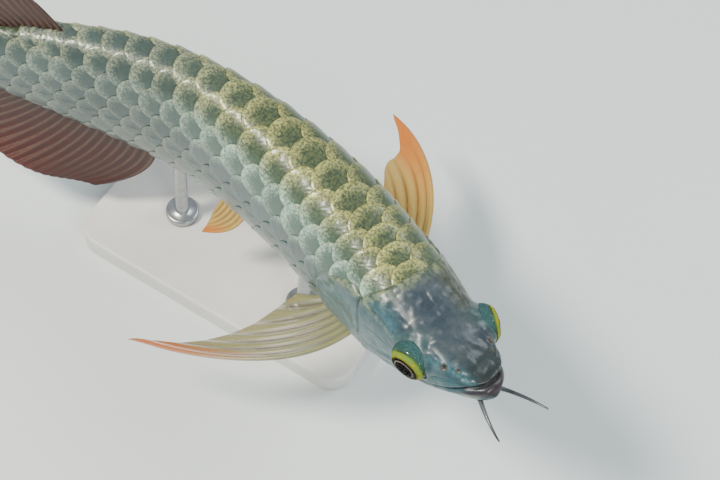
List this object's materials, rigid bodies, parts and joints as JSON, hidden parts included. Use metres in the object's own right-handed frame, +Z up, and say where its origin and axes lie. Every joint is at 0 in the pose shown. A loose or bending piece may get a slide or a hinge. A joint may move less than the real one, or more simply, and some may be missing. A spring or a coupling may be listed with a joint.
{
  "type": "asian arowana model",
  "caption": "Life-size still model of a long, large-scaled freshwater fish with an upturned mouth, chin barbels and spread pectoral fins, turning on a plain stand.",
  "frame": {"origin": "middle of the underside of the stand's base", "axes": "+Z up, +X from the end of the tail fin toward the snout, -Y on the fish's right side"},
  "size_m": [0.3902, 0.1671, 0.1588],
  "materials": {
    "head_skin": "wet bare skin over bone, slate grey above and pale blue-grey on the cheeks",
    "scaly_skin": "wet scales, grey-green centres with beaded golden-green rims, silvery on the flanks",
    "eye": "clear wet cornea over a yellow-green eye with a black pupil",
    "dark_fin": "maroon-brown membrane with paler raised rays",
    "golden_fin": "thin golden-orange membrane with brown ray lines",
    "barbel": "dark grey wet skin",
    "base_paint": "satin off-white paint",
    "steel": "fine brushed"
  },
  "bodies": {
    "root": {"head": "head_skin", "lower_jaw": "head_skin", "gill_cover_left": "head_skin", "gill_cover_right": "head_skin", "eye_left": "eye", "eye_right": "eye", "trunk_front": "scaly_skin", "trunk_middle": "scaly_skin", "trunk_rear": "scaly_skin", "tail_stalk": "scaly_skin", "dorsal_fin": "dark_fin", "anal_fin": "dark_fin", "tail_fin": "dark_fin", "pectoral_fin_left": "golden_fin", "pectoral_fin_right": "golden_fin", "pelvic_fin_left": "golden_fin", "pelvic_fin_right": "golden_fin", "barbel_left": "barbel", "barbel_right": "barbel", "stand_base": "base_paint", "stand_rod_front": "steel", "stand_rod_rear": "steel"}
  },
  "joints": []
}
